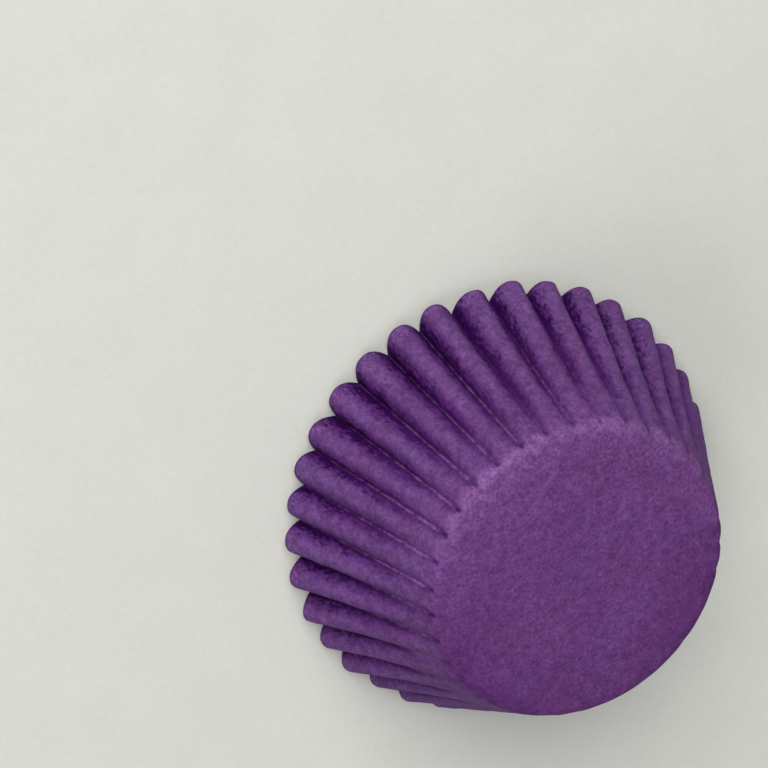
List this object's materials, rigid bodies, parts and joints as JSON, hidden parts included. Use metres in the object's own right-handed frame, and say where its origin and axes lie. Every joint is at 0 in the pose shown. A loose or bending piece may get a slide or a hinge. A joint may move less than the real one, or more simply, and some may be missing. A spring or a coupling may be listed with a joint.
{
  "type": "cupcake liner",
  "caption": "Paper cupcake liner standing mouth down: a flat round base with a flared, pleated wall, pressed from one sheet of paper.",
  "frame": {"origin": "on the liner's axis, in the plane that its rim stands on", "axes": "+Z along the axis, from the mouth up to the base; X and Y are across the rim"},
  "size_m": [0.0778, 0.0778, 0.0317],
  "materials": {
    "purple_paper": "matt dyed baking paper, purple outside and lilac-grey inside"
  },
  "bodies": {
    "root": {"liner": "purple_paper"}
  },
  "joints": []
}
